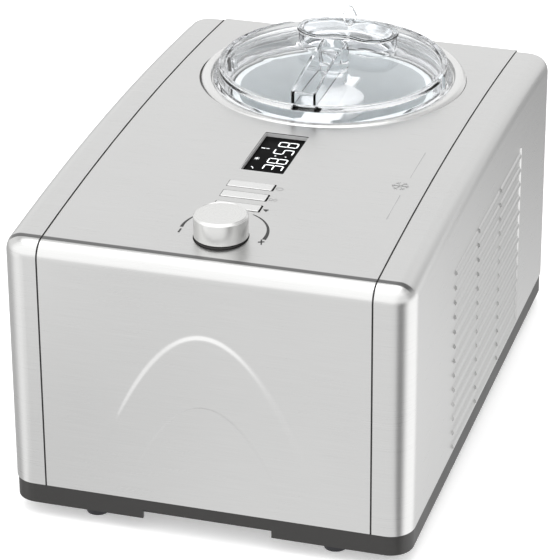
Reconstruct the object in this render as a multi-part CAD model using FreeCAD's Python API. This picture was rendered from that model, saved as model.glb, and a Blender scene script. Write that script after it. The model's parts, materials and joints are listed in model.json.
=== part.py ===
import FreeCAD, Part
import math
import os

# Ice cream maker with its own compressor. Millimetres, +Z up, front faces -Y, feet stand on z = 0.

os.makedirs("parts", exist_ok=True)

# driving dimensions of the casing
halfWidth = 142.5
halfLength = 212.5
frontTopZ = 211.0
midTopZ = 218.3
rearTopZ = 207.0
skirtTopZ = 26.0
cornerR = 17.0
edgeR = 12.0
sheet = 1.2
seamX = 116.0
seamGap = 1.2

# base
floorLowZ = 15.0
floorTopZ = 18.0
skirtLowZ = 11.0
skirtMidZ = 17.5

# cold well
wellY = 104.0
collarR = 98.5
collarTopZ = 218.2
collarBoreR = 90.0
drumR = 72.6
drumBottomZ = 67.7
bowlR = 71.8
bowlBottomZ = 69.5
bowlRimZ = 204.5
coilTubeR = 3.5

# drive
shaftR = 6.0
running = 0.05
gearModule = 1.0
pinionTeeth = 12
largeOneTeeth = 80
smallTeeth = 20
largeTwoTeeth = 76
outputTeeth = 84

# controls
knobY = -170.0
knobR = 18.5
knobLowZ = 214.6
knobTopZ = 231.0
knobHoleR = 18.9
keyYs = (-96.0, -111.5, -127.5)
keyX0 = -18.0
keyX1 = 14.0
keyWidth = 9.2
windowX0 = -17.0
windowX1 = 15.0
windowY0 = -74.5
windowY1 = -11.0
lensTopZ = 215.2
moduleTopZ = 212.6
bezelTopZ = 217.4

# raised crescent on the front, between two arches
archTopZ = 160.6
archSpread = 0.018
archLowTopZ = 105.6
archLowSpread = 0.022
reliefLift = 1.5

# louvres in the sides
louvreSpans = ((-93, -30), (-25.5, 37), (42, 104.5))
louvreTopZ = 168.0
louvreStep = 11.4
louvreRows = 13
beadR = 1.7
beadY = 107.0

# lid opening for filling
chuteMidR = 45.0
chuteSpread = 25.7
chuteTopZ = 234.5

up = FreeCAD.Vector(0, 0, 1)
nodeShapes = {}


def vec(x, y, z):
    return FreeCAD.Vector(x, y, z)


def box(x0, x1, y0, y1, z0, z1):
    return Part.makeBox(x1 - x0, y1 - y0, z1 - z0, vec(x0, y0, z0))


def cyl(r, z0, z1, x=0.0, y=0.0):
    return Part.makeCylinder(r, z1 - z0, vec(x, y, z0), up)


def rod(r, start, end):
    step = end.sub(start)
    return Part.makeCylinder(r, step.Length, start, step)


def ring(outer, inner, z0, z1, x=0.0, y=0.0):
    return cyl(outer, z0, z1, x, y).cut(cyl(inner, z0 - 1, z1 + 1, x, y))


def fuse(shapes):
    return shapes[0].fuse(shapes[1:]).removeSplitter()


def revolve(points, x=0.0, y=0.0):
    corners = [vec(r, 0, z) for r, z in points]
    face = Part.Face(Part.makePolygon(corners + corners[:1]))
    solid = face.revolve(vec(0, 0, 0), up, 360)
    solid.translate(vec(x, y, 0))
    return solid


def save(node, shape):
    nodeShapes[node] = shape
    shape.exportStep("parts/" + node + ".step")


def crownZ(y):
    t = (y + halfLength) / (2 * halfLength)
    return frontTopZ + (rearTopZ - frontTopZ) * t + 37.2 * t * (1 - t)


def sideFace(inset, lowZ):
    # casing seen from the side: straight front and rear, shallow arc on top
    front = -halfLength + inset
    rear = halfLength - inset
    low = Part.makePolygon([vec(0, rear, lowZ), vec(0, front, lowZ)])
    rise = Part.LineSegment(vec(0, front, lowZ), vec(0, front, frontTopZ - inset))
    peak = vec(0, 0, midTopZ - inset)
    crown = Part.Arc(vec(0, front, frontTopZ - inset), peak, vec(0, rear, rearTopZ - inset))
    fall = Part.LineSegment(vec(0, rear, rearTopZ - inset), vec(0, rear, lowZ))
    wire = Part.Wire(low.Edges + [rise.toShape(), crown.toShape(), fall.toShape()])
    return Part.Face(wire)


def casing(inset, lowZ):
    # whole outer body as one rounded block, pulled in by the inset
    half = halfWidth - inset
    face = sideFace(inset, lowZ)
    face.translate(vec(-half, 0, 0))
    block = face.extrude(vec(2 * half, 0, 0))
    uprights = []
    for edge in block.Edges:
        span = edge.BoundBox
        if span.XLength < 0.01 and span.YLength < 0.01:
            uprights.append(edge)
    block = block.makeFillet(cornerR - inset, uprights)
    tops = []
    for edge in block.Edges:
        span = edge.BoundBox
        if span.ZMin > 150 and span.ZLength < 20 and not (span.XLength < 0.01 and span.YLength < 0.01):
            tops.append(edge)
    return block.makeFillet(edgeR - inset, tops)


def louvreRow(side, y0, y1, z):
    # one pressed hood: upper half of a hollow roll standing out of the sheet
    length = y1 - y0
    x = side * (halfWidth - 1.9)
    roll = Part.makeCylinder(3.4, length, vec(x, y0, z), vec(0, 1, 0))
    hollow = Part.makeCylinder(2.3, length - 2.4, vec(x, y0 + 1.2, z), vec(0, 1, 0))
    lower = box(x - 6, x + 6, y0 - 1, y1 + 1, z - 6, z - 0.6)
    inner = box(-halfWidth + sheet, halfWidth - sheet, y0 - 2, y1 + 2, z - 8, z + 8)
    return roll.cut(hollow).cut(lower).cut(inner)


def louvreSlot(side, y0, y1, z):
    x = side * (halfWidth - 1.9)
    return Part.makeCylinder(2.9, y1 - y0 - 1.6, vec(x, y0 + 0.8, z), vec(0, 1, 0))


def pipe(points, r, bend):
    # round tube through the points with rounded corners
    spots = [vec(*p) for p in points]
    edges = []
    last = spots[0]
    for i in range(1, len(spots) - 1):
        inward = spots[i].sub(spots[i - 1]).normalize()
        outward = spots[i + 1].sub(spots[i]).normalize()
        turn = inward.getAngle(outward)
        trim = bend * math.tan(turn / 2)
        a = spots[i].sub(vec(*inward).multiply(trim))
        b = spots[i].add(vec(*outward).multiply(trim))
        side = vec(*outward).sub(inward).normalize()
        centre = spots[i].add(vec(*side).multiply(bend / math.cos(turn / 2)))
        mid = centre.sub(vec(*side).multiply(bend))
        if last.distanceToPoint(a) > 0.01:
            edges.append(Part.LineSegment(last, a).toShape())
        edges.append(Part.Arc(a, mid, b).toShape())
        last = b
    edges.append(Part.LineSegment(last, spots[-1]).toShape())
    path = Part.Wire(edges)
    start = spots[1].sub(spots[0])
    outline = Part.Wire(Part.makeCircle(r, spots[0], start))
    return path.makePipeShell([outline], True, False)


def helix(r, tube, z0, z1, pitch, x, y):
    spine = Part.makeHelix(pitch, z1 - z0, r)
    outline = Part.Wire(Part.makeCircle(tube, vec(r, 0, 0), vec(0, 1, 0)))
    coil = Part.Wire(spine.Edges).makePipeShell([outline], True, True)
    coil.rotate(vec(0, 0, 0), up, -90)
    coil.translate(vec(x, y, z0))
    return coil


def gear(teeth, z0, z1, x, y, facing, toothOnLine):
    # spur wheel with one tooth (or one gap) centred on the facing direction
    pitch = 2 * math.pi / teeth
    rootR = gearModule * (teeth / 2 - 1.15)
    tipR = gearModule * (teeth / 2 + 0.85)
    start = math.radians(facing) + (0 if toothOnLine else pitch / 2)
    points = []
    for k in range(teeth):
        middle = start + k * pitch
        for r, share in ((rootR, -0.3), (tipR, -0.13), (tipR, 0.13), (rootR, 0.3)):
            angle = middle + share * pitch
            points.append(vec(x + r * math.cos(angle), y + r * math.sin(angle), z0))
    face = Part.Face(Part.makePolygon(points + points[:1]))
    return face.extrude(vec(0, 0, z1 - z0))


def kidney(half, z0, z1):
    # curved slot that follows the lid rim behind the centre
    mid = chuteMidR
    spread = math.radians(chuteSpread)

    def on(r, angle):
        return vec(r * math.sin(angle), wellY + r * math.cos(angle), z0)

    outer = Part.Arc(on(mid + half, -spread), on(mid + half, 0), on(mid + half, spread))
    inner = Part.Arc(on(mid - half, spread), on(mid - half, 0), on(mid - half, -spread))
    tipR = on(mid, spread).add(endStep(spread, half))
    tipL = on(mid, -spread).add(endStep(-spread, half))
    endR = Part.Arc(on(mid + half, spread), tipR, on(mid - half, spread))
    endL = Part.Arc(on(mid - half, -spread), tipL, on(mid + half, -spread))
    wire = Part.Wire([outer.toShape(), endR.toShape(), inner.toShape(), endL.toShape()])
    return Part.Face(wire).extrude(vec(0, 0, z1 - z0))


def endStep(angle, half):
    side = 1 if angle > 0 else -1
    return vec(side * half * math.cos(angle), -side * half * math.sin(angle), 0)


# casing
outer = casing(0.0, skirtTopZ + 0.3)
inner = casing(sheet, skirtTopZ - 5)
shell = outer.cut(inner)

panelHalf = seamX - seamGap / 2
middle = shell.common(box(-panelHalf, panelHalf, -300, 300, 0, 300))
frontTop = middle.cut(box(-200, 200, 180, 300, 0, 195.6))
frontTop = frontTop.cut(cyl(collarR + 0.3, 150, 260, 0, wellY))
bezel = box(windowX0 - 1, windowX1 + 1, windowY0 - 1, windowY1 + 1, moduleTopZ + 0.5, bezelTopZ)
frontTop = frontTop.fuse(bezel).cut(box(windowX0, windowX1, windowY0, windowY1, 190, 240))
frontTop = frontTop.cut(cyl(knobHoleR, 190, 240, 0, knobY))
for keyY in keyYs:
    reach = keyWidth / 2 + 0.4
    frontTop = frontTop.cut(box(keyX0 - 0.4, keyX1 + 1.3, keyY - reach, keyY + reach, 190, 240))


def archCurve(top, spread, lowZ, y):
    reach = math.sqrt((top - lowZ) / spread)
    points = []
    for i in range(25):
        x = reach * (i / 12 - 1)
        points.append(vec(x, y, top - spread * x * x))
    curve = Part.BSplineCurve()
    curve.interpolate(points)
    return curve.toShape(), points[0], points[-1]


outerArch, outerL, outerRt = archCurve(archTopZ, archSpread, 60.0, -halfLength + 0.6)
innerArch, innerL, innerRt = archCurve(archLowTopZ, archLowSpread, 60.0, -halfLength + 0.6)
footL = Part.LineSegment(innerL, outerL).toShape()
footR = Part.LineSegment(outerRt, innerRt).toShape()
relief = Part.Face(Part.Wire([outerArch, footR, innerArch, footL])).extrude(vec(0, -0.6 - reliefLift, 0))
frontTop = fuse([frontTop, relief])
save("top_front_panel", frontTop)

rear = middle.common(box(-200, 200, 180, 300, 0, 195))
for row in range(9):
    z = 80 + row * 11
    for x in (-80, -28, 24):
        rear = rear.cut(box(x, x + 44, 200, 220, z, z + 3.5))
rear = rear.cut(Part.makeCylinder(8.2, 30, vec(-90, 195, 45), vec(0, 1, 0)))
save("rear_panel", rear)

for side, node in ((-1, "left_side_panel"), (1, "right_side_panel")):
    edge = seamX + seamGap / 2
    window = box(edge, 300, -300, 300, 0, 300) if side > 0 else box(-300, -edge, -300, 300, 0, 300)
    panel = shell.common(window)
    slots = []
    hoods = []
    for y0, y1 in louvreSpans:
        for row in range(louvreRows):
            z = louvreTopZ - row * louvreStep
            slots.append(louvreSlot(side, y0, y1, z))
            hoods.append(louvreRow(side, y0, y1, z))
    panel = panel.cut(Part.makeCompound(slots))
    bead = cyl(beadR, 31, 174, side * (halfWidth - 0.5), beadY)
    panel = panel.fuse(hoods + [bead])
    save(node, panel)

frameOuter = casing(sheet + 0.1, skirtTopZ + 0.3)
frameInner = casing(sheet + 2.6, skirtTopZ - 5)
frame = frameOuter.cut(frameInner)
strips = [frame.common(box(s * seamX - 7, s * seamX + 7, -300, 300, 0, 300)) for s in (-1, 1)]
save("seam_frame", Part.makeCompound(strips))

# base


def planBlock(inset, z0, z1):
    block = box(-halfWidth + inset, halfWidth - inset, -halfLength + inset, halfLength - inset, z0, z1)
    edges = [e for e in block.Edges if e.BoundBox.XLength < 0.01 and e.BoundBox.YLength < 0.01]
    return block.makeFillet(cornerR - inset, edges)


skirt = planBlock(0.8, skirtLowZ, skirtTopZ).cut(planBlock(3.3, skirtLowZ - 1, skirtTopZ + 1))
for y0, y1 in ((-220, -200), (200, 220)):
    skirt = skirt.cut(box(-46, 46, y0, y1, skirtLowZ - 1, skirtMidZ))
tray = skirt.fuse(planBlock(3.2, floorLowZ, floorTopZ))
for row in range(7):
    tray = tray.cut(box(-100 + row * 12, -94 + row * 12, -20, 10, floorLowZ - 1, floorTopZ + 1))
save("base_tray", tray.removeSplitter())

feet = []
for x in (-86, 86):
    for y in (-192, 192):
        feet.append(Part.makeCone(8.0, 9.5, floorLowZ - 0.1, vec(x, y, 0), up))
save("rubber_feet", Part.makeCompound(feet))

screws = []
for x in (-105, 105):
    for z in (45, 180):
        head = Part.makeCylinder(3.6, 1.4, vec(x, halfLength + 0.05, z), vec(0, 1, 0))
        slot = box(x - 3, x + 3, halfLength + 0.9, halfLength + 2, z - 0.4, z + 0.4)
        screws.append(head.cut(slot))
save("panel_screws", Part.makeCompound(screws))

gland = Part.makeCylinder(7.9, 9, vec(-90, halfLength - 8, 45), vec(0, 1, 0))
gland = gland.fuse(Part.makeCylinder(11, 1.4, vec(-90, halfLength + 0.1, 45), vec(0, 1, 0)))
gland = gland.fuse(Part.makeCylinder(11, 2.4, vec(-90, halfLength - 5, 45), vec(0, 1, 0)))
gland = gland.cut(Part.makeCylinder(4.2, 40, vec(-90, halfLength - 20, 45), vec(0, 1, 0)))
save("cord_gland", gland)

collar = revolve([(77, 203), (collarR, 203), (collarR, 216.4), (96.7, collarTopZ), (collarBoreR, collarTopZ),
                  (collarBoreR, 214), (86.2, 214), (86.2, 206), (77, 206)], 0, wellY)
save("lid_collar", collar)

# controls
knob = cyl(knobR, knobLowZ, knobTopZ, 0, knobY)
knob = knob.makeChamfer(1.6, [e for e in knob.Edges if e.BoundBox.ZMin > knobTopZ - 1])
knob = knob.cut(cyl(knobR - 2.2, knobLowZ - 1, 226, 0, knobY))
knob = knob.fuse(cyl(6, 217, 227, 0, knobY)).cut(cyl(3 + running, 215, 226.5, 0, knobY))
save("control_knob", knob)
save("knob_ring", ring(knobHoleR - 0.6, 7.0, 211.2, knobLowZ - 0.3, 0, knobY))

boardTopZ = 197.6
board = box(-60, 60, -195, -4, 196, boardTopZ)
chips = [box(-50, -34, -60, -44, boardTopZ, 200.2), box(30, 52, -120, -98, boardTopZ, 201),
         box(-52, -36, -150, -110, boardTopZ, 206), cyl(5, boardTopZ, 209, 45, -60),
         cyl(5, boardTopZ, 209, 45, -74), box(34, 50, -180, -150, boardTopZ, 205)]
save("control_board", fuse([board] + chips))
encoder = fuse([box(-7, 7, knobY - 7, knobY + 7, boardTopZ + 0.1, 208), cyl(5, 207, 214, 0, knobY),
                cyl(3, 213, 226.2, 0, knobY)])
save("encoder", encoder)

guide = box(-22, 18, -136, -88, boardTopZ + 0.1, 207)
keyMidX = (keyX0 + keyX1) / 2
keyNames = ("upper", "middle", "lower")
for keyY in keyYs:
    guide = guide.cut(cyl(2.4 + running, 201.5, 208, keyMidX, keyY))
save("key_guide", guide)
for name, keyY in zip(keyNames, keyYs):
    half = keyWidth / 2
    cap = box(keyX0, keyX1, keyY - half, keyY + half, 212.4, crownZ(keyY) + 0.3)
    rim = [e for e in cap.Edges if e.BoundBox.ZMin > crownZ(keyY)]
    cap = cap.makeFillet(0.4, rim)
    stem = cyl(2.4, 205.3, 213, keyMidX, keyY)
    save("key_" + name, fuse([cap, stem]))
    spring = helix(3.7, 0.4, 207.6, 211.8, 1.4, keyMidX, keyY)
    save("spring_" + name, spring)

lens = box(windowX0 + 0.3, windowX1 - 0.3, windowY0 + 0.3, windowY1 - 0.3, lensTopZ - 1.8, lensTopZ)
corners = [e for e in lens.Edges if e.BoundBox.XLength < 0.01 and e.BoundBox.YLength < 0.01]
save("display_lens", lens.makeFillet(1.0, corners))
module = box(-20, 18, -78, -7.5, boardTopZ + 0.1, moduleTopZ)
save("display_module", module.fuse(box(-15, 13, -72, -13, moduleTopZ - 1, moduleTopZ + 0.6)))

# refrigeration
compX = -58.0
compY = -108.0
compR = 54.0
can = cyl(compR, 30, 165, compX, compY)
can = can.makeFillet(24, [e for e in can.Edges if e.BoundBox.ZMin > 160])
can = can.makeFillet(14, [e for e in can.Edges if e.BoundBox.ZMax < 31])
plate = box(compX - 52, compX + 52, compY - 44, compY + 44, 28, 31)
can = fuse([can, plate, cyl(compR + 1.2, 94, 98, compX, compY)])
cavity = cyl(compR - 3.2, 33.5, 161.5, compX, compY)
cavity = cavity.makeFillet(21, [e for e in cavity.Edges if e.BoundBox.ZMin > 160])
cavity = cavity.makeFillet(12, [e for e in cavity.Edges if e.BoundBox.ZMax < 34])
can = can.cut(cavity.cut(cyl(34, 30, 112, compX, compY)))
mounts = []
for dx in (-44, 44):
    for dy in (-36, 36):
        mount = ring(8, 3, floorTopZ + 0.1, 27.9, compX + dx, compY + dy)
        mounts.append(mount)
        can = can.cut(cyl(3, 20, 40, compX + dx, compY + dy))
save("compressor", can)
save("compressor_mounts", Part.makeCompound(mounts))
relay = box(compX - 24, compX + 24, -187, -163.6, 78, 118)
relay = relay.makeFillet(4, [e for e in relay.Edges if e.BoundBox.YLength > 5])
save("relay_cover", relay)

coilX = 123.0
passZs = (65, 83, 101, 119, 137, 155)
finHoles = [rod(coilTubeR + 0.1, vec(coilX, -95, z), vec(coilX, 105, z)) for z in passZs]
holes = Part.makeCompound(finHoles)
fins = []
for i in range(33):
    y = -90 + i * 6
    fins.append(box(coilX - 11, coilX + 11, y, y + 0.6, 55, 165))
for z0, z1 in ((54.4, 55.2), (164.8, 165.6)):
    fins.append(box(coilX - 11, coilX + 11, -90, 102.6, z0, z1))
for y in (-88, 99):
    fins.append(box(coilX - 11, coilX + 11, y, y + 1.6, floorTopZ + 0.1, 54.6))
save("condenser_fins", fuse(fins).cut(holes))

route = [(coilX, -106, 155)]
for i, z in enumerate(passZs[::-1]):
    ends = (112, -100) if i % 2 == 0 else (-100, 112)
    if i:
        route.append((coilX, ends[1], z))
    route.append((coilX, ends[0], z))
route[-1] = (coilX, -106, 65)
save("condenser_coil", pipe(route, coilTubeR, 8.9))

fanX = 92.0
fanY = -50.0
fanZ = 120.0
toRight = vec(1, 0, 0)
shroud = box(104, 107, -100, 0, 50, 168)
shroud = shroud.cut(Part.makeCylinder(45, 20, vec(95, fanY, fanZ), toRight))
lip = Part.makeCylinder(47, 14, vec(91, fanY, fanZ), toRight)
lip = lip.cut(Part.makeCylinder(45, 30, vec(85, fanY, fanZ), toRight))
legs = [box(104, 107, -100, -88, floorTopZ + 0.1, 51), box(104, 107, -12, 0, floorTopZ + 0.1, 51)]
holders = []
for low, high, reach in ((45.4, 47.4, 92.5), (17.2, 47.4, 73)):
    holders.append(box(70, reach, fanY - 3, fanY + 3, fanZ + low, fanZ + high))
    holders.append(box(70, reach, fanY - 3, fanY + 3, fanZ - high, fanZ - low))
save("fan_shroud", fuse([shroud, lip] + legs + holders))
motor = Part.makeCylinder(17, 22, vec(58, fanY, fanZ), toRight)
motor = motor.cut(Part.makeCylinder(2 + running, 12, vec(69, fanY, fanZ), toRight))
save("fan_motor", motor)
blades = [Part.makeCylinder(15, 14, vec(84, fanY, fanZ), toRight)]
blades.append(Part.makeCylinder(2, 15, vec(70, fanY, fanZ), toRight))
for k in range(7):
    blade = box(fanX - 0.9, fanX + 0.9, fanY - 10, fanY + 10, fanZ + 13, fanZ + 42)
    blade.rotate(vec(fanX, fanY, fanZ), vec(0, 0, 1), 58)
    blade.rotate(vec(fanX, fanY, fanZ), toRight, k * 360 / 7)
    blades.append(blade)
rotor = blades[0].fuse(blades[1:])
save("fan_rotor", rotor)

drier = rod(9, vec(38, -150, 65), vec(90, -150, 65))
save("filter_drier", fuse([drier, rod(4.5, vec(32, -150, 65), vec(96, -150, 65))]))
save("liquid_pipe", pipe([(coilX, -106.2, 65), (coilX, -150, 65), (96.2, -150, 65)], 2.5, 10))
dischargeRoute = [(-5.5, -130, 140), (30, -130, 140), (coilX, -130, 155), (coilX, -106.2, 155)]
save("discharge_pipe", pipe(dischargeRoute, 2.5, 10))
save("suction_pipe", pipe([(0, -6.2, 170), (0, -30, 170), (compX, -30, 170), (compX, -30, 120),
                           (compX, -53.8, 120)], 3.5, 9))
save("capillary_tube", pipe([(31.8, -150, 65), (4, -150, 65), (4, -150, 178), (4, -14, 178),
                             (-12, -14, 178), (-12, -14, 84), (-12, -6.2, 84)], 1.2, 5))

drumOutline = [(9.3, drumBottomZ), (66, drumBottomZ), (drumR + 1.4, 76), (drumR + 1.4, 198), (80, 198),
               (80, 199.6), (drumR, 199.6), (drumR, 76.6), (65.4, drumBottomZ + 1.4),
               (9.3, drumBottomZ + 1.4)]
drum = revolve(drumOutline, 0, wellY)
save("evaporator_drum", drum)
coil = helix(drumR + 1.4 + coilTubeR + 0.1, coilTubeR, 84, 168, 12, 0, wellY)
lead = wellY - drumR - 1.4 - coilTubeR
inLead = fuse([rod(coilTubeR, vec(0, lead, 84), vec(-12, lead - 4, 84)),
               rod(coilTubeR, vec(-12, lead - 3, 84), vec(-12, -6, 84))])
outLead = rod(coilTubeR, vec(0, lead + 1, 168), vec(0, -6, 168))
save("evaporator_coil", coil.fuse([inLead, outLead]))
foamOutline = [(10.5, 52), (96, 52), (102, 58), (102, 197.6), (81.5, 197.6), (81.5, 66.5), (10.5, 66.5)]
foam = revolve(foamOutline, 0, wellY)
foam = foam.cut(rod(5, vec(-12, 30, 84), vec(-12, -10, 84)))
foam = foam.cut(rod(5, vec(4, 29, 84), vec(-14, 21.5, 84)))
foam = foam.cut(rod(5, vec(0, 30, 168), vec(0, -10, 168)))
save("drum_insulation", foam)

powerBoard = [box(-126, -124.2, -20, 66, 60, 150), box(-124.2, -112, -10, 14, 70, 100),
              box(-124.2, -104, 20, 50, 70, 96), Part.makeCylinder(8, 18, vec(-124.2, 0, 128), toRight)]
powerBoard += [box(-136, -124.2, y, y + 3, floorTopZ + 0.1, 70) for y in (-19, 62)]
save("power_board", fuse(powerBoard))
loomRoute = [(-122, -24, 140), (-122, -60, 140), (-90, -60, 186), (-50, -60, 190), (-50, -80, 193.2)]
save("wire_loom", pipe(loomRoute, 2, 6))

# drive train
outAt = (0.0, wellY)
twoAt = (outAt[0] + 52 * math.cos(math.radians(-100)), outAt[1] + 52 * math.sin(math.radians(-100)))
oneAt = (twoAt[0] + 48 * math.cos(math.radians(-75)), twoAt[1] + 48 * math.sin(math.radians(-75)))
motorAt = (oneAt[0] + 46 * math.cos(math.radians(-50)), oneAt[1] + 46 * math.sin(math.radians(-50)))


def gearCase(extra, z0, z1):
    spots = ((outAt, 44.5), (twoAt, 40.5), (oneAt, 42.5), (motorAt, 12))
    return fuse([cyl(r + extra, z0, z1, at[0], at[1]) for at, r in spots])


housing = gearCase(3.2, floorTopZ + 0.1, 43.4).cut(gearCase(0.6, 20.5, 50))
pins = [cyl(3, 20, 43, twoAt[0], twoAt[1]), cyl(3, 20, 43, oneAt[0], oneAt[1])]
pads = [cyl(6, 20, 29.2, oneAt[0], oneAt[1]), cyl(6, 20, 21.7, twoAt[0], twoAt[1])]
seat = ring(9, shaftR + running, 20, 21.6, *outAt)
save("gearbox_housing", fuse([housing, seat] + pins + pads))
cover = gearCase(3.2, 43.5, 46).cut(cyl(9.05, 40, 50, *outAt)).cut(cyl(2.6, 40, 50, *motorAt))
save("gearbox_cover", cover)
can = cyl(28, 46.1, 98, *motorAt)
can = can.makeFillet(4, [e for e in can.Edges if e.BoundBox.ZMin > 97])
can = fuse([can, cyl(9, 97, 102, *motorAt)]).cut(cyl(2 + running, 40, 60, *motorAt))
save("drive_motor", can)
pinion = fuse([gear(pinionTeeth, 35.8, 41.2, *motorAt, 130, True), cyl(2, 35, 59, *motorAt)])
save("motor_pinion", pinion)
bore = cyl(3 + running, 10, 60, *oneAt)
wheelOne = gear(largeOneTeeth, 36, 41, *oneAt, -50, False)
save("idler_one", fuse([wheelOne, gear(smallTeeth, 29.5, 36.5, *oneAt, 105, True)]).cut(bore))
bore = cyl(3 + running, 10, 60, *twoAt)
wheelTwo = gear(largeTwoTeeth, 29.7, 34.3, *twoAt, -75, False)
save("idler_two", fuse([wheelTwo, gear(smallTeeth, 22, 30, *twoAt, 80, True)]).cut(bore))
wheel = gear(outputTeeth, 22.2, 27.8, *outAt, -100, False).cut(cyl(shaftR + 0.02, 10, 40, *outAt))
save("output_gear", wheel.fuse(ring(11, shaftR + 0.02, 27, 34, *outAt)))


def hexBar(r, z0, z1):
    turns = [math.radians(60 * k) for k in range(7)]
    corners = [vec(r * math.cos(a), wellY + r * math.sin(a), z0) for a in turns]
    return Part.Face(Part.makePolygon(corners)).extrude(vec(0, 0, z1 - z0))


save("drive_shaft", fuse([cyl(shaftR, 20.8, 113.2, *outAt), hexBar(shaftR, 113, 125.5)]))
save("shaft_bush", ring(9.0, shaftR + running, 43.6, 68.0, *outAt))
save("shaft_seal", ring(8.8, shaftR + running, 68.1, 71.2, *outAt))

# bowl, paddle and lid
bowlOutline = [(9.6, bowlBottomZ), (64, bowlBottomZ), (bowlR, 77), (bowlR, 203), (75.5, 203),
               (75.5, bowlRimZ), (70.6, bowlRimZ), (70.6, 77.6), (63.4, 71), (11.6, 71), (11.6, 113.4),
               (9.6, 113.4)]
save("ice_bowl", revolve(bowlOutline, 0, wellY))

hubOutline = [(12.1, 73), (15.5, 73), (14.5, 150), (17, 182), (24, 189), (24, 193), (19, 198), (11, 204),
              (8, 207), (8, 217), (0, 217), (0, 114), (12.1, 114)]
hub = revolve(hubOutline, 0, wellY).cut(hexBar(6.5, 113.5, 126))
blade = box(-3, 3, wellY - 68, wellY - 58, 78.5, 196)
blade.rotate(vec(0, wellY - 63, 0), up, 32)
armTop = box(-14.5, 14.5, wellY - 66, wellY - 17, 190, 195)
armLow = box(-6, 6, wellY - 64, wellY - 13.5, 74.5, 80)
bladeIn = box(-3, 3, wellY + 36, wellY + 46, 76, 196)
bladeIn.rotate(vec(0, wellY + 41, 0), up, 32)
inTop = box(-10, 10, wellY + 17, wellY + 44, 190, 195)
inLow = box(-6, 6, wellY + 13.5, wellY + 44, 74, 79)
save("paddle", fuse([hub, blade, armTop, armLow, bladeIn, inTop, inLow]))

save("lid_seal", ring(84, 79, 206.3, 208.3, 0, wellY))
lid = revolve([(0, 222), (81.5, 222), (81.5, 208.6), (84, 208.6), (84, 214.4), (88.5, 214.4), (88.5, 216.4),
               (85.6, 218), (84.6, 227), (82.6, 228), (80.4, 227), (79.6, 224.5), (0, 224.5)], 0, wellY)
lugs = []
for side in (-1, 1):
    x0, x1 = sorted((side * 83.5, side * 85.6))
    lugs.append(box(x0, x1, wellY - 6, wellY + 6, 209, 212))
    x0, x1 = sorted((side * 76.5, side * 82.0))
    lugs.append(box(x0, x1, wellY - 5, wellY + 5, 210, 222.5))
bar = [(25, 224.2), (25, 235.5), (60, 240.6), (95, 243), (112, 243), (114.5, 224.2)]
outline = [vec(-9.25, y, z) for y, z in bar]
handle = Part.Face(Part.makePolygon(outline + outline[:1])).extrude(vec(18.5, 0, 0))
hollow = [(27.2, 224.6), (27.2, 233.4), (60, 238.4), (92, 240.6), (92, 224.6)]
outline = [vec(-7.25, y, z) for y, z in hollow]
hollowBlock = Part.Face(Part.makePolygon(outline + outline[:1])).extrude(vec(14.5, 0, 0))
handle = handle.cut(hollowBlock)
boss = cyl(11.5, 209, 240, 0, wellY)
chute = kidney(18.0, 221.8, chuteTopZ)
lid = lid.fuse(lugs + [handle, boss, chute])
lid = lid.cut(kidney(16.4, 200, 240)).cut(cyl(8.5, 200, 219, 0, wellY))
save("lid", lid)

plug = kidney(16.0, 227, chuteTopZ + 0.8).cut(kidney(14.2, 226, chuteTopZ + 0.6))
step = kidney(17.4, chuteTopZ + 1.5, chuteTopZ + 2.7)
cap = kidney(19.2, chuteTopZ + 0.3, chuteTopZ + 2.1).fuse([plug, step])
fin = box(-5.0, 5.0, 148.4, 151.6, chuteTopZ + 2, 246.5)
fin = fin.fuse(Part.makeCylinder(5.0, 3.2, vec(0, 148.4, 246.5), vec(0, 1, 0)))
fin = fin.fuse(box(-1.5, 1.5, 151, 158, chuteTopZ + 2, 240))
save("fill_cap", cap.fuse(fin).removeSplitter())
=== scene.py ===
import json
import math

import bmesh
import bpy
import numpy as np
from mathutils import Matrix, Vector


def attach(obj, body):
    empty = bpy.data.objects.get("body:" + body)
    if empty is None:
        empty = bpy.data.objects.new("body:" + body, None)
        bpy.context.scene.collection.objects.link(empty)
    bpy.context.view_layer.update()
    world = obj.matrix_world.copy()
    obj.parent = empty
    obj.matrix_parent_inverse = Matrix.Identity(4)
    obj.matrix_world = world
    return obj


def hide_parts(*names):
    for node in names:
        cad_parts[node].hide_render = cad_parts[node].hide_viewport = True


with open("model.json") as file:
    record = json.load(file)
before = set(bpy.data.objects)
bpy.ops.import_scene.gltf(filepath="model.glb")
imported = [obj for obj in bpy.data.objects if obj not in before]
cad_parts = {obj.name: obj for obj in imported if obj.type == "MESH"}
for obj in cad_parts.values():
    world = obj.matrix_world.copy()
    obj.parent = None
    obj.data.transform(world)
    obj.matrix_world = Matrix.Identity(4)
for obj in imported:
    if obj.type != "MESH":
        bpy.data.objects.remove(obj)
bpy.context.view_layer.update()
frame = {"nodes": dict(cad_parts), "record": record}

# Shapes are given in millimetres and become metres in meshObject.
# +Z is up, the front faces -Y and the feet stand on z = 0.
mm = 0.001

casing = {
    "halfLength": 212.5, "frontTop": 211.0, "midTop": 218.3, "rearTop": 207.0,
    "low": 26.3, "sheet": 1.2, "bend": 12.0, "seam": 115.4, "rearLow": 195.6,
}


# shader maths

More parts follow.
